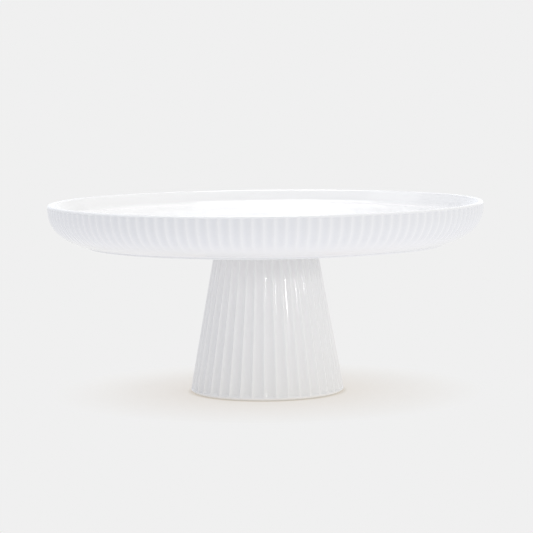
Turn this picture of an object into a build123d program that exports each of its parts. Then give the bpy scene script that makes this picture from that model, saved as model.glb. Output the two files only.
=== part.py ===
from build123d import *

import os
from math import cos, pi, sin

# A fluted cake stand in two glazed ceramic pieces. A shallow dish plate with a deep fluted rim
# stands on a hollow fluted cone, and one hand screw inside the cone holds them together.
# The origin is the centre of the base, on the table. +Z is up, and sizes are in millimetres.

# Overall sizes
PLATE_RADIUS = 150.5
STAND_HEIGHT = 131.8

# Plate: the lip and the dish
LIP_HEIGHT = 1.5
LIP_INNER_RADIUS = 147.5
LIP_INNER_ROUND = 1.5
DISH_DEPTH = 9.8
DISH_FLOOR_RADIUS = 141.5
DISH_CORNER_RADIUS = 6.0
CUT_MARGIN = 1.0
FLOOR_THICKNESS = 5.5

# Plate: the outer wall is a quarter of a superellipse between these two circles
WALL_FOOT_RADIUS = 106.0
WALL_FOOT_HEIGHT = 101.7
WALL_POWER = 2.39
WALL_SPLINE_POINTS = 8

# Plate: the flutes, which are hollows that meet at sharp ridges
PLATE_FLUTES = 132
PLATE_FLUTE_DEPTH = 0.75
PLATE_FLUTE_END_HEIGHT = 107.0
PLATE_FLUTE_SECTIONS = 7

# Plate: the foot ring and the recess inside it
FOOT_RING_OUTER_RADIUS = 124.2
FOOT_RING_INNER_RADIUS = 117.6
FOOT_RING_BOTTOM = 102.2
FOOT_RING_ROUND = 0.6
RECESS_STRAIGHT_TOP = 107.5
RECESS_SHOULDER_RADIUS = 131.0
RECESS_SHOULDER_HEIGHT = 112.0
RECESS_RADIUS = 133.0
RECESS_CORNER_RADIUS = 2.0

# Pedestal
BASE_RADIUS = 53.5
CONE_SLOPE = 0.1812
PEDESTAL_WALL = 6.0
PEDESTAL_BOTTOM = 0.5
PEDESTAL_EDGE_ROUND = 1.2
BASE_BAND_TOP = 4.0
DECK_THICKNESS = 6.0
PEDESTAL_FLUTES = 40
PEDESTAL_FLUTE_SHARE = 0.018

# Silicone pieces
GASKET_THICKNESS = 2.0
GASKET_INNER_RADIUS = 14.0
GASKET_OUTER_RADIUS = 30.0
BASE_RING_INNER_RADIUS = 49.0
BASE_RING_OUTER_RADIUS = 51.8
BASE_RING_HEIGHT = 2.5
BASE_RING_ROUND = 0.5

# Spigot under the plate, with the brass insert in it
SPIGOT_RADIUS = 11.0
SPIGOT_LENGTH = 7.0
SPIGOT_CLEARANCE = 0.5
INSERT_RADIUS = 6.5
INSERT_LENGTH = 9.5
INSERT_END_WALL = 0.5
INSERT_COLLAR_DEPTH = 0.8
INSERT_COLLAR_STEP = 1.0

# Hand screw and its washers
STUD_RADIUS = 4.0
THREAD_CLEARANCE = 0.05
STUD_BORE_GAP = 1.0
STUD_IN_KNOB = 13.0
STUD_CHAMFER = 0.8
MOULDED_FIT = 0.02
RUBBER_WASHER_RADIUS = 20.0
RUBBER_WASHER_THICKNESS = 2.0
STEEL_WASHER_RADIUS = 18.0
STEEL_WASHER_THICKNESS = 1.5
WASHER_CLEARANCE = 0.4
KNOB_RADIUS = 16.0
KNOB_HEIGHT = 16.0
KNOB_NECK_RADIUS = 10.0
KNOB_NECK_HEIGHT = 3.0
KNOB_SCOOPS = 8
KNOB_SCOOP_RADIUS = 4.0
KNOB_SCOOP_DEPTH = 1.6
KNOB_ROUND = 1.5

# Heights that follow from the sizes above
LIP_BOTTOM = STAND_HEIGHT - LIP_HEIGHT
DISH_FLOOR = STAND_HEIGHT - DISH_DEPTH
PLATE_UNDERSIDE = DISH_FLOOR - FLOOR_THICKNESS
SPIGOT_BOTTOM = PLATE_UNDERSIDE - SPIGOT_LENGTH
DECK_TOP = PLATE_UNDERSIDE - GASKET_THICKNESS
DECK_BOTTOM = DECK_TOP - DECK_THICKNESS
RUBBER_WASHER_BOTTOM = DECK_BOTTOM - RUBBER_WASHER_THICKNESS
STEEL_WASHER_BOTTOM = RUBBER_WASHER_BOTTOM - STEEL_WASHER_THICKNESS
INSERT_TOP = SPIGOT_BOTTOM + INSERT_LENGTH
INSERT_BORE_TOP = INSERT_TOP - INSERT_END_WALL
STUD_TOP = INSERT_BORE_TOP - STUD_BORE_GAP
STUD_BOTTOM = STEEL_WASHER_BOTTOM - STUD_IN_KNOB


def turned(*edges):
    """A solid of revolution, from edges drawn as (radius, height)."""
    return revolve(Plane.XZ * make_face(edges), Axis.Z)


def ring(inner, outer, bottom, top):
    """A plain ring with flat faces."""
    body = Cylinder(outer, top - bottom) - Cylinder(inner, top - bottom)
    return Pos(0, 0, (bottom + top) / 2) * body


def disc(radius, bottom, top):
    return Pos(0, 0, (bottom + top) / 2) * Cylinder(radius, top - bottom)


def on_circle(radius, angle, height):
    return (radius * cos(angle), radius * sin(angle), height)


def scalloped_wire(radius, depth, flutes, height):
    """A closed line of equal arcs, each one hollowed by depth between ridges on a circle."""
    pitch = 2 * pi / flutes
    arcs = []
    for flute in range(flutes):
        middle = flute * pitch - pi / 2
        first_ridge = on_circle(radius, middle - pitch / 2, height)
        hollow = on_circle(radius - depth, middle, height)
        second_ridge = on_circle(radius, middle + pitch / 2, height)
        arcs.append(ThreePointArc(first_ridge, hollow, second_ridge))
    return Wire(arcs)


def wall_radius(height):
    """Outer radius of the plate's wall at a height, over the ridges of its flutes."""
    drop = (LIP_BOTTOM - height) / (LIP_BOTTOM - WALL_FOOT_HEIGHT)
    reach = (1 - drop**WALL_POWER) ** (1 / WALL_POWER)
    return WALL_FOOT_RADIUS + (PLATE_RADIUS - WALL_FOOT_RADIUS) * reach


def wall_height(radius):
    """The inverse of wall_radius."""
    reach = (radius - WALL_FOOT_RADIUS) / (PLATE_RADIUS - WALL_FOOT_RADIUS)
    drop = (1 - reach**WALL_POWER) ** (1 / WALL_POWER)
    return LIP_BOTTOM - (LIP_BOTTOM - WALL_FOOT_HEIGHT) * drop


def plate_flute_band():
    """The fluted part of the wall as a full disc. The flutes run out to nothing at the bottom."""
    sections = []
    for step in range(PLATE_FLUTE_SECTIONS):
        share = step / (PLATE_FLUTE_SECTIONS - 1)
        height = PLATE_FLUTE_END_HEIGHT + share * (LIP_BOTTOM - PLATE_FLUTE_END_HEIGHT)
        depth = PLATE_FLUTE_DEPTH * sin(share * pi / 2)
        sections.append(scalloped_wire(wall_radius(height), depth, PLATE_FLUTES, height))
    return Solid.make_loft(sections, ruled=False)


def plate_lip():
    """The plain lip as a full disc, with its outer edge rounded."""
    edge = PLATE_RADIUS - LIP_HEIGHT
    return turned(
        Line((0, LIP_BOTTOM), (PLATE_RADIUS, LIP_BOTTOM)),
        RadiusArc((PLATE_RADIUS, LIP_BOTTOM), (edge, STAND_HEIGHT), -LIP_HEIGHT),
        Line((edge, STAND_HEIGHT), (0, STAND_HEIGHT)),
        Line((0, STAND_HEIGHT), (0, LIP_BOTTOM)),
    )


def plate_lower_wall():
    """The smooth part of the wall below the flutes, down to the foot ring, as a full disc."""
    ring_top = wall_height(FOOT_RING_OUTER_RADIUS)
    wall_points = []
    for step in range(WALL_SPLINE_POINTS):
        share = step / (WALL_SPLINE_POINTS - 1)
        height = ring_top + share * (PLATE_FLUTE_END_HEIGHT - ring_top)
        wall_points.append((wall_radius(height), height))
    flat_edge = FOOT_RING_OUTER_RADIUS - FOOT_RING_ROUND
    round_top = FOOT_RING_BOTTOM + FOOT_RING_ROUND
    return turned(
        Line((0, FOOT_RING_BOTTOM), (flat_edge, FOOT_RING_BOTTOM)),
        RadiusArc((flat_edge, FOOT_RING_BOTTOM), (FOOT_RING_OUTER_RADIUS, round_top), -FOOT_RING_ROUND),
        Line((FOOT_RING_OUTER_RADIUS, round_top), wall_points[0]),
        Spline(*wall_points),
        Line(wall_points[-1], (0, PLATE_FLUTE_END_HEIGHT)),
        Line((0, PLATE_FLUTE_END_HEIGHT), (0, FOOT_RING_BOTTOM)),
    )


def dish_hollow():
    """What is removed above the dish floor. Its side flares over the lip, so the lip's inner edge is round."""
    lip_edge = PLATE_RADIUS - LIP_HEIGHT
    outline = Polyline(
        (0, DISH_FLOOR),
        (DISH_FLOOR_RADIUS, DISH_FLOOR),
        (LIP_INNER_RADIUS, STAND_HEIGHT),
        (lip_edge, STAND_HEIGHT),
    )
    outline = fillet(outline.vertices().sort_by(Axis.X)[1], DISH_CORNER_RADIUS)
    outline = fillet(outline.vertices().sort_by(Axis.X)[-2], LIP_INNER_ROUND)
    top = STAND_HEIGHT + CUT_MARGIN
    return turned(
        *outline.edges(),
        Line((lip_edge, STAND_HEIGHT), (lip_edge, top)),
        Line((lip_edge, top), (0, top)),
        Line((0, top), (0, DISH_FLOOR)),
    )


def underside_recess():
    """The hollow inside the foot ring. It widens above the ring, because the plate is a cast shell."""
    outline = Polyline(
        (FOOT_RING_INNER_RADIUS, FOOT_RING_BOTTOM),
        (FOOT_RING_INNER_RADIUS, RECESS_STRAIGHT_TOP),
        (RECESS_SHOULDER_RADIUS, RECESS_SHOULDER_HEIGHT),
        (RECESS_RADIUS, PLATE_UNDERSIDE),
        (SPIGOT_RADIUS, PLATE_UNDERSIDE),
    )
    corners = outline.vertices().filter_by_position(
        Axis.Y, RECESS_STRAIGHT_TOP, PLATE_UNDERSIDE
    )
    outline = fillet(corners.sort_by(Axis.X)[1:], RECESS_CORNER_RADIUS)
    return turned(
        *outline.edges(),
        Line((SPIGOT_RADIUS, PLATE_UNDERSIDE), (SPIGOT_RADIUS, SPIGOT_BOTTOM)),
        Line((SPIGOT_RADIUS, SPIGOT_BOTTOM), (0, SPIGOT_BOTTOM)),
        Line((0, SPIGOT_BOTTOM), (0, FOOT_RING_BOTTOM)),
        Line((0, FOOT_RING_BOTTOM), (FOOT_RING_INNER_RADIUS, FOOT_RING_BOTTOM)),
    )


def insert_outline():
    """The brass insert without its bore: a plug with a wider collar at its mouth."""
    collar_top = SPIGOT_BOTTOM + INSERT_COLLAR_DEPTH
    collar = disc(INSERT_RADIUS + INSERT_COLLAR_STEP, SPIGOT_BOTTOM, collar_top)
    return collar + disc(INSERT_RADIUS, SPIGOT_BOTTOM, INSERT_TOP)


def plate():
    body = plate_flute_band() + plate_lip() + plate_lower_wall()
    return body - dish_hollow() - underside_recess() - insert_outline()


def threaded_insert():
    bore = disc(STUD_RADIUS + THREAD_CLEARANCE, SPIGOT_BOTTOM, INSERT_BORE_TOP)
    return insert_outline() - bore


def seating_gasket():
    return ring(GASKET_INNER_RADIUS, GASKET_OUTER_RADIUS, DECK_TOP, PLATE_UNDERSIDE)


def cone_radius(height):
    """Outer radius of the pedestal at a height, over the ridges of its flutes."""
    return BASE_RADIUS - CONE_SLOPE * height


def pedestal_flute_band():
    sections = []
    for height in (BASE_BAND_TOP, DECK_TOP):
        radius = cone_radius(height)
        depth = PEDESTAL_FLUTE_SHARE * radius
        sections.append(scalloped_wire(radius, depth, PEDESTAL_FLUTES, height))
    return Solid.make_loft(sections, ruled=True)


def pedestal_base_band():
    """The plain band at the bottom as a full disc, with its lower edge rounded."""
    edge = cone_radius(PEDESTAL_BOTTOM) - PEDESTAL_EDGE_ROUND
    round_top = PEDESTAL_BOTTOM + PEDESTAL_EDGE_ROUND
    round_end = (cone_radius(round_top), round_top)
    return turned(
        Line((0, PEDESTAL_BOTTOM), (edge, PEDESTAL_BOTTOM)),
        RadiusArc((edge, PEDESTAL_BOTTOM), round_end, -PEDESTAL_EDGE_ROUND),
        Line(round_end, (cone_radius(BASE_BAND_TOP), BASE_BAND_TOP)),
        Line((cone_radius(BASE_BAND_TOP), BASE_BAND_TOP), (0, BASE_BAND_TOP)),
        Line((0, BASE_BAND_TOP), (0, PEDESTAL_BOTTOM)),
    )


def pedestal_hollow():
    """The inside of the cone, up to the underside of its deck."""
    bottom_radius = cone_radius(PEDESTAL_BOTTOM) - PEDESTAL_WALL
    top_radius = cone_radius(DECK_BOTTOM) - PEDESTAL_WALL
    height = DECK_BOTTOM - PEDESTAL_BOTTOM
    middle = (DECK_BOTTOM + PEDESTAL_BOTTOM) / 2
    return Pos(0, 0, middle) * Cone(bottom_radius, top_radius, height)


def pedestal():
    body = pedestal_flute_band() + pedestal_base_band()
    body -= pedestal_hollow()
    body -= disc(SPIGOT_RADIUS + SPIGOT_CLEARANCE, DECK_BOTTOM, DECK_TOP)
    body -= ring(BASE_RING_INNER_RADIUS, BASE_RING_OUTER_RADIUS, PEDESTAL_BOTTOM, BASE_RING_HEIGHT)
    return body


def base_ring():
    """The non-slip ring that the stand rests on, with both lower edges rounded."""
    body = ring(BASE_RING_INNER_RADIUS, BASE_RING_OUTER_RADIUS, 0, BASE_RING_HEIGHT)
    lower_edges = body.edges().group_by(Axis.Z)[0]
    return fillet(lower_edges, BASE_RING_ROUND)


def rubber_washer():
    hole = STUD_RADIUS + WASHER_CLEARANCE
    return ring(hole, RUBBER_WASHER_RADIUS, RUBBER_WASHER_BOTTOM, DECK_BOTTOM)


def steel_washer():
    hole = STUD_RADIUS + WASHER_CLEARANCE
    return ring(hole, STEEL_WASHER_RADIUS, STEEL_WASHER_BOTTOM, RUBBER_WASHER_BOTTOM)


def clamp_screw():
    """The M8 stud, drawn at its thread's outer size, with both ends chamfered."""
    stud = disc(STUD_RADIUS, STUD_BOTTOM, STUD_TOP)
    return chamfer(stud.edges().filter_by(GeomType.CIRCLE), STUD_CHAMFER)


def screw_knob():
    """The hand knob: a neck against the washer, and a scalloped grip below it."""
    grip_top = STEEL_WASHER_BOTTOM - KNOB_NECK_HEIGHT
    grip = disc(KNOB_RADIUS, STEEL_WASHER_BOTTOM - KNOB_HEIGHT, grip_top)
    scoop_centre = KNOB_RADIUS + KNOB_SCOOP_RADIUS - KNOB_SCOOP_DEPTH
    scoop = disc(KNOB_SCOOP_RADIUS, STEEL_WASHER_BOTTOM - KNOB_HEIGHT, grip_top)
    grip -= PolarLocations(scoop_centre, KNOB_SCOOPS) * scoop
    rims = grip.edges().group_by(Axis.Z)
    grip = fillet(rims[0] + rims[-1], KNOB_ROUND)
    neck = disc(KNOB_NECK_RADIUS, grip_top, STEEL_WASHER_BOTTOM)
    socket = disc(STUD_RADIUS + MOULDED_FIT, STUD_BOTTOM, STEEL_WASHER_BOTTOM)
    return grip + neck - socket


PIECES = (
    plate,
    threaded_insert,
    seating_gasket,
    pedestal,
    base_ring,
    rubber_washer,
    steel_washer,
    clamp_screw,
    screw_knob,
)

os.makedirs("parts", exist_ok=True)
for piece in PIECES:
    export_step(piece(), f"parts/{piece.__name__}.step")
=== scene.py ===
from math import cos, pi, radians, sin, tan

import bpy
import numpy as np
from mathutils import Matrix, Vector


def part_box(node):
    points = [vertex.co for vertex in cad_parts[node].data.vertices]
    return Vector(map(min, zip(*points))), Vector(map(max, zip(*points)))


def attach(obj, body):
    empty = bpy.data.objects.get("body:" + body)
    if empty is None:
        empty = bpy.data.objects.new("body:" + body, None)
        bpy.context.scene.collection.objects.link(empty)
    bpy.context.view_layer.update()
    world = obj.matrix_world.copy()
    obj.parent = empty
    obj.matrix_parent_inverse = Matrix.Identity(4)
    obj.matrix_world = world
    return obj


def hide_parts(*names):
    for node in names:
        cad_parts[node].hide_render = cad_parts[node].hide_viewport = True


# The looks of a fluted cake stand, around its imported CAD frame. Metres, +Z up, base on z = 0,
# and -Y towards the camera. Outlines are drawn as (radius, height) and turned round the Z axis.
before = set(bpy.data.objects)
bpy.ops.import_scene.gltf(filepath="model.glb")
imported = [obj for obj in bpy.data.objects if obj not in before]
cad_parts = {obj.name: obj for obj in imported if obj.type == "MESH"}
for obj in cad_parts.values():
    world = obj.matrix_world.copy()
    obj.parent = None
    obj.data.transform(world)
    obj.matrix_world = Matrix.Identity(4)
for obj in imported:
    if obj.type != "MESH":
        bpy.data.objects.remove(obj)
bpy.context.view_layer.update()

MM = 0.001

# Plate, as in the frame
PLATE_RADIUS = 150.5 * MM
STAND_HEIGHT = 131.8 * MM
LIP_HEIGHT = 1.5 * MM
LIP_INNER_RADIUS = 147.5 * MM
LIP_INNER_ROUND = 1.5 * MM
LIP_BOTTOM = STAND_HEIGHT - LIP_HEIGHT
LIP_EDGE = PLATE_RADIUS - LIP_HEIGHT
DISH_FLOOR = 122.0 * MM
DISH_FLOOR_RADIUS = 141.5 * MM
DISH_CORNER_ROUND = 6.0 * MM
PLATE_UNDERSIDE = 116.5 * MM
WALL_FOOT_RADIUS = 106.0 * MM
WALL_FOOT_HEIGHT = 101.7 * MM
WALL_POWER = 2.39
FOOT_RING_OUTER_RADIUS = 124.2 * MM
FOOT_RING_INNER_RADIUS = 117.6 * MM
FOOT_RING_BOTTOM = 102.2 * MM
FOOT_RING_ROUND = 0.6 * MM
RECESS_STRAIGHT_TOP = 107.5 * MM
RECESS_SHOULDER_RADIUS = 131.0 * MM
RECESS_SHOULDER_HEIGHT = 112.0 * MM
RECESS_RADIUS = 133.0 * MM
RECESS_ROUND = 2.0 * MM
SPIGOT_RADIUS = 11.0 * MM
SPIGOT_BOTTOM = 109.5 * MM
SPIGOT_ROUND = 0.6 * MM
INSERT_RADIUS = 6.5 * MM
INSERT_COLLAR_RADIUS = 7.5 * MM
INSERT_COLLAR_TOP = 110.3 * MM
INSERT_TOP = 119.0 * MM

# Plate mesh: the innermost rows round the axis, and the gap between the wall and the foot ring's side
DISH_CENTRE_ROW = 20.0 * MM
INSERT_CENTRE_ROW = 1.0 * MM
RING_SIDE_GAP = 0.05 * MM

# Plate flutes. The columns are shares of one flute's width, closest together at its ridges. The turn is
# where a ridge lies, and -90 degrees faces the camera.
PLATE_FLUTES = 132
PLATE_FLUTE_DEPTH = 0.75 * MM
PLATE_FLUTE_END = 106.4 * MM
PLATE_FLUTE_FADE = 9.0 * MM
PLATE_FLUTE_START_RUN = 0.4 * MM
PLATE_FLUTE_START_ROWS = 5
PLATE_FLUTE_ROWS = 30
PLATE_FLUTE_COLUMNS = (0, 0.045, 0.11, 0.3, 0.5, 0.7, 0.89, 0.955)
PLATE_FLUTE_TURN = radians(-90 - 0.5)
RIDGE_ROUND = 0.05
PLATE_FLUTE_FLATNESS = 2.0

# Pedestal
BASE_RADIUS = 53.5 * MM
CONE_SLOPE = 0.1812
PEDESTAL_WALL = 6.0 * MM
PEDESTAL_BOTTOM = 0.5 * MM
PEDESTAL_EDGE_ROUND = 1.2 * MM
DECK_TOP = 114.5 * MM
DECK_BOTTOM = 108.5 * MM
DECK_HOLE_RADIUS = 11.5 * MM
DECK_ROUND = 0.8 * MM
DECK_BEVEL_MIDDLE = 0.3
INNER_EDGE_ROUND = 0.6 * MM
GROOVE_INNER_RADIUS = 49.0 * MM
GROOVE_OUTER_RADIUS = 51.8 * MM
GROOVE_TOP = 2.5 * MM
GROOVE_ROUND = 0.3 * MM

# Pedestal flutes. Their full depth is a share of the cone's radius. It grows from nothing at the rounded
# edge to a part of that at the top of the base band, and to the whole of it just above the band.
PEDESTAL_FLUTES = 40
PEDESTAL_FLUTE_SHARE = 0.024
PEDESTAL_FLUTE_FLATNESS = 3.0
BAND_TOP = 3.6 * MM
BAND_DEPTH_PART = 0.85
BAND_START = 0.4 * MM
BAND_ROWS = 5
ABOVE_BAND_RUN = 1.6 * MM
ABOVE_BAND_ROWS = 8
PEDESTAL_FLUTE_ROWS = 24
PEDESTAL_FLUTE_COLUMNS = (
    0, 0.03, 0.065, 0.11, 0.18, 0.26, 0.34, 0.42, 0.5,
    0.58, 0.66, 0.74, 0.82, 0.89, 0.935, 0.97,
)
PEDESTAL_FLUTE_TURN = radians(-90 + 6.7)

# Clamp screw thread
THREAD_RADIUS = 4.0 * MM
THREAD_DEPTH = 0.7 * MM
THREAD_PITCH = 1.25 * MM
THREAD_FLANK_SLOPE = 4
THREAD_PEAK = 1.6
THREAD_ROWS_PER_TURN = 8
THREAD_COLUMNS = 48
THREAD_CHAMFER = 0.8 * MM

# Camera, with its angles in radians
CAMERA_DISTANCE = 1.525
CAMERA_HEIGHT = 0.2244
CAMERA_SIDE = 0.3 * MM
CAMERA_PITCH = 0.0901
CAMERA_ROLL = -0.0112
CAMERA_LENS_MM = 148.9

# Paper floor. It glows a little, so that its shadows are soft, and more so away from the base.
PAPER = (0.871, 0.871, 0.871)
# The glow is warm, so it paints a warm tint into the floor's shadows.
PAPER_GLOW = (0.53, 0.475, 0.42)
PAPER_ALBEDO = (0.36, 0.39, 0.41)
# Diffuse rays see the far paper glow brighter and cooler than it looks: painted fill light on the stand.
PAPER_FILL_GLOW = (0.98, 0.98, 1.01)
# Close round the base the glow is darker and warmer: a painted contact shadow, fading out between these
# radii.
CONTACT_SHADOW_GLOW = (0.42, 0.36, 0.29)
CONTACT_SHADOW_INNER = 53 * MM
CONTACT_SHADOW_OUTER = 56 * MM
PAPER_FADE_START = 50 * MM
PAPER_FADE_END = 150 * MM
FLOOR_REACH = 40

# Surround. It is dimmer and cooler towards one side, and brighter at the horizon and at the back. Each
# range is where one of these changes, as the direction's component along the dim direction, +Z or +Y.
BRIGHT_SIDE = (0.79, 0.79, 0.78)
DIM_SIDE = (0.52, 0.545, 0.60)
DIM_DIRECTION = (-0.94, 0.34, 0)
DIM_RANGE = (-0.6, 0.9)
HORIZON_GLOW = 1.05
ZENITH_GLOW = 0.94
RISE_RANGE = (0.1, 0.6)
BACK_GLOW = 0.6
BACK_RANGE = (0.8, 0.97)


# ------------------------------------------------------------------ outlines

def arc(centre, radius, start, end, steps):
    """Points on a circle between two angles in degrees, as (radius, height)."""
    angles = np.radians(np.linspace(start, end, steps))
    return [(centre[0] + radius * cos(a), centre[1] + radius * sin(a)) for a in angles]


def rounded_corner(before, corner, after, radius, steps=5):
    """The arc that rounds the corner between two straight runs."""
    before, corner, after = (Vector(p) for p in (before, corner, after))
    to_before = (before - corner).normalized()
    to_after = (after - corner).normalized()
    half = to_before.angle(to_after) / 2
    centre = corner + (to_before + to_after).normalized() * radius / sin(half)
    first = (corner + to_before * radius / tan(half) - centre).normalized()
    last = (corner + to_after * radius / tan(half) - centre).normalized()
    shares = np.linspace(0, 1, steps)
    return [tuple(centre + first.slerp(last, share) * radius) for share in shares]


def rounded_path(corners):
    """A path through corners given as (radius, height, rounding). Both ends stay sharp."""
    points = [corner[:2] for corner in corners]
    path = [points[0]]
    for i in range(1, len(corners) - 1):
        rounding = corners[i][2]
        if rounding:
            path += rounded_corner(points[i - 1], points[i], points[i + 1], rounding)
        else:
            path.append(points[i])
    return path + [points[-1]]


def wall_radius(height):
    """Outer radius of the plate's wall at a height, over its ridges: a quarter of a superellipse."""
    drop = (LIP_BOTTOM - height) / (LIP_BOTTOM - WALL_FOOT_HEIGHT)
    reach = (1 - drop**WALL_POWER) ** (1 / WALL_POWER)
    return WALL_FOOT_RADIUS + (PLATE_RADIUS - WALL_FOOT_RADIUS) * reach


def wall_height(radius):
    """The inverse of wall_radius."""
    reach = (radius - WALL_FOOT_RADIUS) / (PLATE_RADIUS - WALL_FOOT_RADIUS)
    drop = (1 - reach**WALL_POWER) ** (1 / WALL_POWER)
    return LIP_BOTTOM - (LIP_BOTTOM - WALL_FOOT_HEIGHT) * drop


def cone_radius(height):
    """Outer radius of the pedestal at a height, over its ridges."""
    return BASE_RADIUS - CONE_SLOPE * height


def smooth(value):
    """A soft step from 0 to 1."""
    value = min(max(value, 0), 1)
    return value * value * (3 - 2 * value)


# -------------------------------------------------------------------- meshes

def flute_hollow(share, flatness):
    """How hollow a flute is, at a share of its width: 0 on its round ridge and 1 in its middle.

    A higher flatness gives a flatter middle and steeper flanks.
    """
    from_ridge = min(share, 1 - share)
    eased = (from_ridge**2 + RIDGE_ROUND**2) ** 0.5 - RIDGE_ROUND
    widest = (0.25 + RIDGE_ROUND**2) ** 0.5 - RIDGE_ROUND
    return 1 - (1 - eased / widest) ** flatness


def new_piece(name, vertices, faces, material, body):
    """A smooth mesh piece that rides on a body and takes the given material."""
    mesh = bpy.data.meshes.new(name)
    mesh.from_pydata(vertices, [], faces)
    mesh.polygons.foreach_set("use_smooth", [True] * len(mesh.polygons))
    mesh.materials.append(material)
    piece = bpy.data.objects.new(name, mesh)
    bpy.context.scene.collection.objects.link(piece)
    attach(piece, body)
    return piece


def grid_faces(rows, columns, closed):
    """Quads between rows of a ring mesh. A closed mesh joins its last row to its first."""
    faces = []
    for row in range(rows if closed else rows - 1):
        here = row * columns
        after = (row + 1) % rows * columns
        for column in range(columns):
            right = (column + 1) % columns
            faces.append((here + column, here + right, after + right, after + column))
    return faces


def fluted_turning(outline, flutes, flute_columns, flatness, turn, on_axis):
    """Vertices, faces and hollowness of a turned shell whose rows are (radius, height, depth).

    on_axis closes both ends of the outline with a point on the axis.
    """
    hollow = np.array([flute_hollow(share, flatness) for share in flute_columns])
    hollow = np.tile(hollow, flutes)
    shares = np.array(flute_columns)
    angles = np.concatenate([(flute + shares) * 2 * pi / flutes for flute in range(flutes)]) + turn
    rows = np.array(outline)
    radius = rows[:, :1] - rows[:, 2:] * hollow
    height = np.repeat(rows[:, 1:2], len(angles), axis=1)
    grid = np.stack([radius * np.cos(angles), radius * np.sin(angles), height], axis=-1)
    hollowness = (rows[:, 2:] / rows[:, 2].max() * hollow).reshape(-1)
    vertices = grid.reshape(-1, 3).tolist()
    columns = len(angles)
    faces = grid_faces(len(rows), columns, closed=not on_axis)
    if on_axis:
        first = len(vertices)
        last = first + 1
        end_row = (len(rows) - 1) * columns
        vertices += [(0, 0, rows[0, 1]), (0, 0, rows[-1, 1])]
        for column in range(columns):
            right = (column + 1) % columns
            faces.append((first, right, column))
            faces.append((last, end_row + column, end_row + right))
        hollowness = np.append(hollowness, (0, 0))
    return vertices, faces, hollowness


def store_hollowness(piece, hollowness):
    """Keeps how deep each point lies in a flute, for the glaze that pools there and the shade painted
    there.
    """
    attribute = piece.data.attributes.new("hollowness", "FLOAT", "POINT")
    attribute.data.foreach_set("value", np.asarray(hollowness, np.float32))


def plate_wall_rows():
    """The outer wall from the lip down to the foot ring, with the flutes' depth at each row."""
    ring_top = wall_height(FOOT_RING_OUTER_RADIUS)
    start_shares = [row / PLATE_FLUTE_START_ROWS for row in range(PLATE_FLUTE_START_ROWS)]
    heights = [LIP_BOTTOM - PLATE_FLUTE_START_RUN * share for share in start_shares]
    full_depth = LIP_BOTTOM - PLATE_FLUTE_START_RUN
    quarter_turn = np.linspace(0, pi / 2, PLATE_FLUTE_ROWS)
    heights += [ring_top + (full_depth - ring_top) * cos(a) for a in quarter_turn]
    rows = []
    for height in heights:
        begin = smooth((LIP_BOTTOM - height) / PLATE_FLUTE_START_RUN)
        fade = smooth((height - PLATE_FLUTE_END) / PLATE_FLUTE_FADE)
        rows.append((wall_radius(height), height, PLATE_FLUTE_DEPTH * begin * fade))
    return rows


def plate_rows():
    """The plate's whole outline, from the dish centre over the lip and round to the spigot."""
    dish = rounded_path([
        (DISH_CENTRE_ROW, DISH_FLOOR, 0),
        (DISH_FLOOR_RADIUS, DISH_FLOOR, DISH_CORNER_ROUND),
        (LIP_INNER_RADIUS, STAND_HEIGHT, LIP_INNER_ROUND),
        (LIP_EDGE, STAND_HEIGHT, 0),
    ])
    lip = arc((LIP_EDGE, LIP_BOTTOM), LIP_HEIGHT, start=80, end=10, steps=6)
    underside = rounded_path([
        (FOOT_RING_OUTER_RADIUS, wall_height(FOOT_RING_OUTER_RADIUS) - RING_SIDE_GAP, 0),
        (FOOT_RING_OUTER_RADIUS, FOOT_RING_BOTTOM, FOOT_RING_ROUND),
        (FOOT_RING_INNER_RADIUS, FOOT_RING_BOTTOM, FOOT_RING_ROUND),
        (FOOT_RING_INNER_RADIUS, RECESS_STRAIGHT_TOP, RECESS_ROUND),
        (RECESS_SHOULDER_RADIUS, RECESS_SHOULDER_HEIGHT, RECESS_ROUND),
        (RECESS_RADIUS, PLATE_UNDERSIDE, RECESS_ROUND),
        (SPIGOT_RADIUS, PLATE_UNDERSIDE, 0),
        (SPIGOT_RADIUS, SPIGOT_BOTTOM, SPIGOT_ROUND),
        (INSERT_COLLAR_RADIUS, SPIGOT_BOTTOM, 0),
        (INSERT_COLLAR_RADIUS, INSERT_COLLAR_TOP, 0),
        (INSERT_RADIUS, INSERT_COLLAR_TOP, 0),
        (INSERT_RADIUS, INSERT_TOP, 0),
        (INSERT_CENTRE_ROW, INSERT_TOP, 0),
    ])
    above = [(radius, height, 0) for radius, height in dish + lip]
    below = [(radius, height, 0) for radius, height in underside]
    return above + plate_wall_rows() + below


def make_plate(glaze):
    """The dish plate with its flutes, in place of the CAD plate."""
    vertices, faces, hollowness = fluted_turning(
        plate_rows(),
        PLATE_FLUTES,
        PLATE_FLUTE_COLUMNS,
        PLATE_FLUTE_FLATNESS,
        PLATE_FLUTE_TURN,
        on_axis=True,
    )
    piece = new_piece("glazed_plate", vertices, faces, glaze, "plate")
    store_hollowness(piece, hollowness)
    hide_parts("plate")


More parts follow.
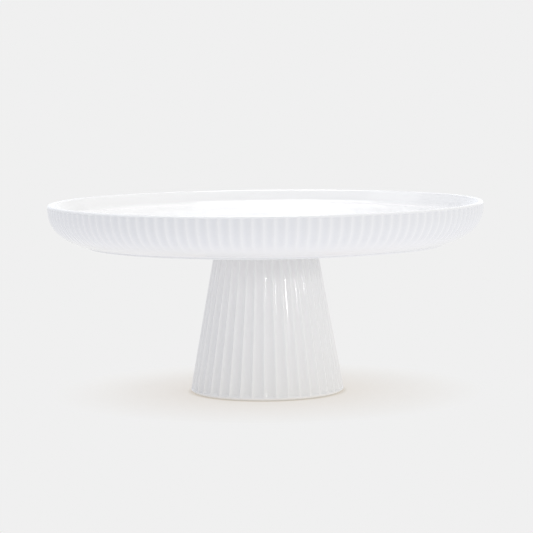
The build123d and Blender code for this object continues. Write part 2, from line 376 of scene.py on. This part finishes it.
def pedestal_flute_rows():
    """The outside of the cone from its rounded bottom edge up to its deck, with the flutes' depth."""
    edge_top = PEDESTAL_BOTTOM + PEDESTAL_EDGE_ROUND
    band = np.linspace(edge_top + BAND_START, BAND_TOP, BAND_ROWS)
    above_band = np.linspace(BAND_TOP, BAND_TOP + ABOVE_BAND_RUN, ABOVE_BAND_ROWS)[1:]
    upper = np.linspace(above_band[-1], DECK_TOP - DECK_ROUND, PEDESTAL_FLUTE_ROWS)[1:]
    rows = []
    for height in [*band, *above_band, *upper]:
        on_band = BAND_DEPTH_PART * smooth((height - edge_top) / (BAND_TOP - edge_top))
        above = smooth((height - BAND_TOP) / ABOVE_BAND_RUN)
        radius = cone_radius(height)
        rows.append((radius, height, PEDESTAL_FLUTE_SHARE * radius * (on_band + (1 - on_band) * above)))
    deck_edge = cone_radius(DECK_TOP)
    bevel = DECK_BEVEL_MIDDLE * DECK_ROUND
    top_depth = rows[-1][2]
    rows.append((deck_edge - bevel, DECK_TOP - bevel, top_depth))
    rows.append((deck_edge - DECK_ROUND, DECK_TOP, top_depth))
    return rows


def pedestal_rows():
    """The pedestal's closed outline: up the outside, over the deck, down the inside, round the base."""
    edge_top = PEDESTAL_BOTTOM + PEDESTAL_EDGE_ROUND
    edge_centre = (cone_radius(edge_top) - PEDESTAL_EDGE_ROUND, edge_top)
    edge = arc(edge_centre, PEDESTAL_EDGE_ROUND, start=270, end=370, steps=7)
    inside = rounded_path([
        (cone_radius(DECK_TOP) - 2 * DECK_ROUND, DECK_TOP, 0),
        (DECK_HOLE_RADIUS, DECK_TOP, DECK_ROUND),
        (DECK_HOLE_RADIUS, DECK_BOTTOM, DECK_ROUND),
        (cone_radius(DECK_BOTTOM) - PEDESTAL_WALL, DECK_BOTTOM, 0),
        (cone_radius(PEDESTAL_BOTTOM) - PEDESTAL_WALL, PEDESTAL_BOTTOM, INNER_EDGE_ROUND),
        (GROOVE_INNER_RADIUS, PEDESTAL_BOTTOM, GROOVE_ROUND),
        (GROOVE_INNER_RADIUS, GROOVE_TOP, 0),
        (GROOVE_OUTER_RADIUS, GROOVE_TOP, 0),
        (GROOVE_OUTER_RADIUS, PEDESTAL_BOTTOM, 0),
    ])
    below = [(radius, height, 0) for radius, height in edge]
    within = [(radius, height, 0) for radius, height in inside]
    return below + pedestal_flute_rows() + within


def make_pedestal(glaze):
    """The fluted cone with its deck and its groove, in place of the CAD pedestal."""
    vertices, faces, hollowness = fluted_turning(
        pedestal_rows(),
        PEDESTAL_FLUTES,
        PEDESTAL_FLUTE_COLUMNS,
        PEDESTAL_FLUTE_FLATNESS,
        PEDESTAL_FLUTE_TURN,
        on_axis=False,
    )
    piece = new_piece("glazed_pedestal", vertices, faces, glaze, "pedestal")
    store_hollowness(piece, hollowness)
    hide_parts("pedestal")


def make_threaded_stud(steel):
    """The clamp screw with its real thread, chamfered at both ends, in place of the plain CAD one."""
    low, high = (corner.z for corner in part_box("clamp_screw"))
    rows = int((high - low) / THREAD_PITCH * THREAD_ROWS_PER_TURN)
    angles = np.arange(THREAD_COLUMNS) * 2 * pi / THREAD_COLUMNS
    vertices = []
    for height in np.linspace(low, high, rows):
        phase = ((height - low) / THREAD_PITCH - angles / (2 * pi)) % 1
        crest = np.clip(THREAD_PEAK - np.abs(phase - 0.5) * THREAD_FLANK_SLOPE, 0, 1)
        end = min(height - low, high - height)
        limit = THREAD_RADIUS - max(THREAD_CHAMFER - end, 0)
        radius = np.minimum(THREAD_RADIUS - THREAD_DEPTH * (1 - crest), limit)
        for r, angle in zip(radius, angles):
            vertices.append((r * cos(angle), r * sin(angle), height))
    faces = grid_faces(rows, THREAD_COLUMNS, closed=False)
    faces.append(tuple(reversed(range(THREAD_COLUMNS))))
    faces.append(tuple(range((rows - 1) * THREAD_COLUMNS, rows * THREAD_COLUMNS)))
    piece = new_piece("threaded_stud", vertices, faces, steel, "screw")
    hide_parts("clamp_screw")


# ----------------------------------------------------------------- materials

def new_material(name, base_color, roughness, metallic=0.0):
    """A material and its shader. A texture that is linked later takes over from the plain value."""
    material = bpy.data.materials.new(name)
    material.use_nodes = True
    shader = material.node_tree.nodes["Principled BSDF"]
    shader.inputs["Base Color"].default_value = (*base_color, 1)
    shader.inputs["Roughness"].default_value = roughness
    shader.inputs["Metallic"].default_value = metallic
    return material, shader


def noise(tree, scale, detail=3.0):
    """Noise over the object's own coordinates, with a scale in features per metre."""
    place = tree.nodes.new("ShaderNodeTexCoord")
    texture = tree.nodes.new("ShaderNodeTexNoise")
    texture.inputs["Scale"].default_value = scale
    texture.inputs["Detail"].default_value = detail
    tree.links.new(place.outputs["Object"], texture.inputs["Vector"])
    return texture.outputs["Fac"]


def ranged(tree, value, low, high, from_low=0.3, from_high=0.7):
    """A value taken from one range to another and held at both ends. Noise mostly lies in 0.3 to 0.7."""
    node = tree.nodes.new("ShaderNodeMapRange")
    node.inputs["From Min"].default_value = from_low
    node.inputs["From Max"].default_value = from_high
    node.inputs["To Min"].default_value = low
    node.inputs["To Max"].default_value = high
    tree.links.new(value, node.inputs["Value"])
    return node.outputs["Result"]


def mixed_colour(tree, factor, first, second):
    """A mix of two colours, each one a tuple or another node's output."""
    node = tree.nodes.new("ShaderNodeMix")
    node.data_type = "RGBA"
    tree.links.new(factor, node.inputs["Factor"])
    for socket, colour in (("A", first), ("B", second)):
        if isinstance(colour, tuple):
            node.inputs[socket].default_value = (*colour, 1)
        else:
            tree.links.new(colour, node.inputs[socket])
    return node.outputs["Result"]


def bump(tree, shader, height, distance, strength=1.0):
    """Raises the surface by up to a distance where the height is 1."""
    node = tree.nodes.new("ShaderNodeBump")
    node.inputs["Distance"].default_value = distance
    node.inputs["Strength"].default_value = strength
    tree.links.new(height, node.inputs["Height"])
    tree.links.new(node.outputs["Normal"], shader.inputs["Normal"])


def glaze_material(name, light, dark, pooled_and_shaded_colour):
    """Glossy white glaze, a little cooler and darker in the flutes' hollows, partly as pooled glaze and
    partly as painted shade, with a faint hand-dipped ripple.
    """
    material, shader = new_material(name, light, 0.07)
    tree = material.node_tree
    pooled_and_shaded = tree.nodes.new("ShaderNodeAttribute")
    pooled_and_shaded.attribute_name = "hollowness"
    drift = mixed_colour(tree, noise(tree, 14), light, dark)
    # Deeper in a flute the colour turns darker and cooler: pooled glaze and painted shade in the hollow.
    colour = mixed_colour(tree, pooled_and_shaded.outputs["Fac"], drift, pooled_and_shaded_colour)
    tree.links.new(colour, shader.inputs["Base Color"])
    tree.links.new(ranged(tree, noise(tree, 60), 0.05, 0.09), shader.inputs["Roughness"])
    bump(tree, shader, noise(tree, 45, detail=1.0), 0.04 * MM, 0.3)
    return material


def grained_material(name, colours, roughness, colour_scale, roughness_scale, bump_scale, bump_height):
    """A matt moulded material, whose colour, roughness and fine grain each vary on their own scale."""
    material, shader = new_material(name, colours[0], roughness[0])
    tree = material.node_tree
    colour = mixed_colour(tree, noise(tree, colour_scale), *colours)
    tree.links.new(colour, shader.inputs["Base Color"])
    tree.links.new(ranged(tree, noise(tree, roughness_scale), *roughness), shader.inputs["Roughness"])
    bump(tree, shader, noise(tree, bump_scale), bump_height)
    return material


def turned_metal_material(name, light, dark, roughness):
    """Metal with fine rings round the axis, from turning or from a washer's punched face."""
    material, shader = new_material(name, light, roughness[0], metallic=1.0)
    tree = material.node_tree
    place = tree.nodes.new("ShaderNodeTexCoord")
    waves = tree.nodes.new("ShaderNodeTexWave")
    waves.wave_type = "RINGS"
    waves.rings_direction = "Z"
    waves.inputs["Scale"].default_value = 900
    waves.inputs["Distortion"].default_value = 2
    tree.links.new(place.outputs["Object"], waves.inputs["Vector"])
    colour = mixed_colour(tree, noise(tree, 220), dark, light)
    tree.links.new(colour, shader.inputs["Base Color"])
    tree.links.new(ranged(tree, waves.outputs["Fac"], *roughness, 0, 1), shader.inputs["Roughness"])
    bump(tree, shader, waves.outputs["Fac"], 0.02 * MM, 0.4)
    return material


def floor_material():
    """Pale paper that glows warm, which paints its shadows soft and warm, with a painted contact shadow
    round the base and painted fill light for diffuse rays. It fades into the backdrop far from the object.
    """
    material, shader = new_material("paper", PAPER_ALBEDO, 0.9)
    shader.inputs["Specular IOR Level"].default_value = 0
    shader.inputs["Emission Strength"].default_value = 1
    tree = material.node_tree
    place = tree.nodes.new("ShaderNodeTexCoord")
    distance = tree.nodes.new("ShaderNodeVectorMath")
    distance.operation = "LENGTH"
    tree.links.new(place.outputs["Object"], distance.inputs[0])
    # A darker, warmer glow in a ring round the base: a painted contact shadow.
    clear = ranged(tree, distance.outputs["Value"], 0, 1, CONTACT_SHADOW_INNER, CONTACT_SHADOW_OUTER)
    tree.links.new(mixed_colour(tree, clear, CONTACT_SHADOW_GLOW, PAPER_GLOW), shader.inputs["Emission Color"])
    far = ranged(tree, distance.outputs["Value"], 0, 1, PAPER_FADE_START, PAPER_FADE_END)
    path = tree.nodes.new("ShaderNodeLightPath")
    glow = tree.nodes.new("ShaderNodeEmission")
    # Diffuse rays see the paper brighter and cooler: painted fill light on the stand.
    lit = mixed_colour(tree, path.outputs["Is Diffuse Ray"], PAPER, PAPER_FILL_GLOW)
    tree.links.new(lit, glow.inputs["Color"])
    mix = tree.nodes.new("ShaderNodeMixShader")
    tree.links.new(far, mix.inputs["Fac"])
    tree.links.new(shader.outputs["BSDF"], mix.inputs[1])
    tree.links.new(glow.outputs["Emission"], mix.inputs[2])
    tree.links.new(mix.outputs["Shader"], tree.nodes["Material Output"].inputs["Surface"])
    return material


# -------------------------------------------------------------------- studio

def make_floor():
    """A wide sheet of paper under the base, which is part of the studio."""
    mesh = bpy.data.meshes.new("floor")
    signs = ((-1, -1), (1, -1), (1, 1), (-1, 1))
    corners = [(x * FLOOR_REACH, y * FLOOR_REACH, 0) for x, y in signs]
    mesh.from_pydata(corners, [], [(0, 1, 2, 3)])
    mesh.materials.append(floor_material())
    floor = bpy.data.objects.new("floor", mesh)
    bpy.context.scene.collection.objects.link(floor)


def make_world():
    """A white surround, cooler on the left and brighter behind, that looks like paper to the camera."""
    world = bpy.data.worlds.new("studio")
    world.use_nodes = True
    tree = world.node_tree
    background = tree.nodes["Background"]
    path = tree.nodes.new("ShaderNodeLightPath")
    place = tree.nodes.new("ShaderNodeTexCoord")
    towards_dim = tree.nodes.new("ShaderNodeVectorMath")
    towards_dim.operation = "DOT_PRODUCT"
    towards_dim.inputs[1].default_value = DIM_DIRECTION
    tree.links.new(place.outputs["Generated"], towards_dim.inputs[0])
    side = ranged(tree, towards_dim.outputs["Value"], 0, 1, *DIM_RANGE)
    surround = mixed_colour(tree, side, BRIGHT_SIDE, DIM_SIDE)
    parts = tree.nodes.new("ShaderNodeSeparateXYZ")
    tree.links.new(place.outputs["Generated"], parts.inputs["Vector"])
    level = tree.nodes.new("ShaderNodeMath")
    level.operation = "ADD"
    rise = ranged(tree, parts.outputs["Z"], HORIZON_GLOW, ZENITH_GLOW, *RISE_RANGE)
    back = ranged(tree, parts.outputs["Y"], 0, BACK_GLOW, *BACK_RANGE)
    tree.links.new(rise, level.inputs[0])
    tree.links.new(back, level.inputs[1])
    scaled = tree.nodes.new("ShaderNodeVectorMath")
    scaled.operation = "SCALE"
    tree.links.new(surround, scaled.inputs[0])
    tree.links.new(level.outputs["Value"], scaled.inputs["Scale"])
    colour = mixed_colour(tree, path.outputs["Is Camera Ray"], scaled.outputs["Vector"], PAPER)
    tree.links.new(colour, background.inputs["Color"])
    bpy.context.scene.world = world


def softbox(name, azimuth, elevation, distance, width, height, power, colour=(1, 1, 1)):
    """A rectangular light that faces the stand.

    Azimuth is in degrees to the right of the camera, elevation in degrees above the floor.
    """
    target = Vector((0, 0, 0.5 * STAND_HEIGHT))
    a, e = radians(azimuth), radians(elevation)
    away = Vector((sin(a) * cos(e), -cos(a) * cos(e), sin(e)))
    light = bpy.data.lights.new(name, "AREA")
    light.shape = "RECTANGLE"
    light.size = width
    light.size_y = height
    light.energy = power
    light.color = colour
    lamp = bpy.data.objects.new(name, light)
    lamp.location = target + away * distance
    lamp.rotation_euler = (-away).to_track_quat("-Z", "Y").to_euler()
    bpy.context.scene.collection.objects.link(lamp)


def make_camera():
    """A long lens, low in front of the stand."""
    data = bpy.data.cameras.new("camera")
    data.lens = CAMERA_LENS_MM
    data.clip_end = 200
    camera = bpy.data.objects.new("camera", data)
    place = Matrix.Translation((CAMERA_SIDE, -CAMERA_DISTANCE, CAMERA_HEIGHT))
    tilt = Matrix.Rotation(pi / 2 - CAMERA_PITCH, 4, "X")
    camera.matrix_world = place @ tilt @ Matrix.Rotation(CAMERA_ROLL, 4, "Z")
    bpy.context.scene.collection.objects.link(camera)
    bpy.context.scene.camera = camera


def finish_cad_node(node, material):
    """A CAD node whose shape is right keeps it, and gets its finish."""
    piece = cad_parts[node]
    piece.data.materials.clear()
    piece.data.materials.append(material)


# The plate's glaze is cooler and the pedestal's lighter and warmer, to stand for how each is lit: painted
# light.
plate_glaze = glaze_material(
    "plate_glaze",
    light=(0.905, 0.905, 0.913),
    dark=(0.893, 0.895, 0.905),
    pooled_and_shaded_colour=(0.83, 0.836, 0.856),
)
pedestal_glaze = glaze_material(
    "pedestal_glaze",
    light=(0.95, 0.948, 0.943),
    dark=(0.94, 0.936, 0.932),
    pooled_and_shaded_colour=(0.895, 0.893, 0.89),
)
silicone = grained_material(
    "milky_silicone",
    colours=((0.78, 0.79, 0.78), (0.84, 0.85, 0.84)),
    roughness=(0.38, 0.55),
    colour_scale=300,
    roughness_scale=900,
    bump_scale=1500,
    bump_height=0.05 * MM,
)
rubber = grained_material(
    "black_rubber",
    colours=((0.035, 0.035, 0.036), (0.07, 0.07, 0.068)),
    roughness=(0.6, 0.85),
    colour_scale=500,
    roughness_scale=900,
    bump_scale=2500,
    bump_height=0.06 * MM,
)
nylon = grained_material(
    "grey_nylon",
    colours=((0.19, 0.19, 0.20), (0.24, 0.24, 0.25)),
    roughness=(0.42, 0.6),
    colour_scale=150,
    roughness_scale=700,
    bump_scale=2200,
    bump_height=0.05 * MM,
)
steel = turned_metal_material(
    "zinc_steel",
    light=(0.66, 0.66, 0.67),
    dark=(0.52, 0.53, 0.55),
    roughness=(0.26, 0.4),
)
brass = turned_metal_material(
    "turned_brass",
    light=(0.78, 0.60, 0.30),
    dark=(0.66, 0.48, 0.22),
    roughness=(0.2, 0.34),
)

make_plate(plate_glaze)
make_pedestal(pedestal_glaze)
make_threaded_stud(steel)
finish_cad_node("seating_gasket", silicone)
finish_cad_node("base_ring", silicone)
finish_cad_node("rubber_washer", rubber)
finish_cad_node("steel_washer", steel)
finish_cad_node("threaded_insert", brass)
finish_cad_node("screw_knob", nylon)

make_floor()
make_world()
softbox(
    "ceiling_light",
    azimuth=-155,
    elevation=79,
    distance=1.7,
    width=1.2,
    height=1.2,
    power=14.5,
    colour=(1, 0.98, 0.95),
)
softbox("left_fill", azimuth=-95, elevation=45, distance=2.2, width=1.8, height=0.8, power=3.2)
softbox("window_slit", azimuth=44, elevation=13.9, distance=2.1, width=0.1, height=0.16, power=2.4)
make_camera()
bpy.context.scene.view_settings.view_transform = "Standard"
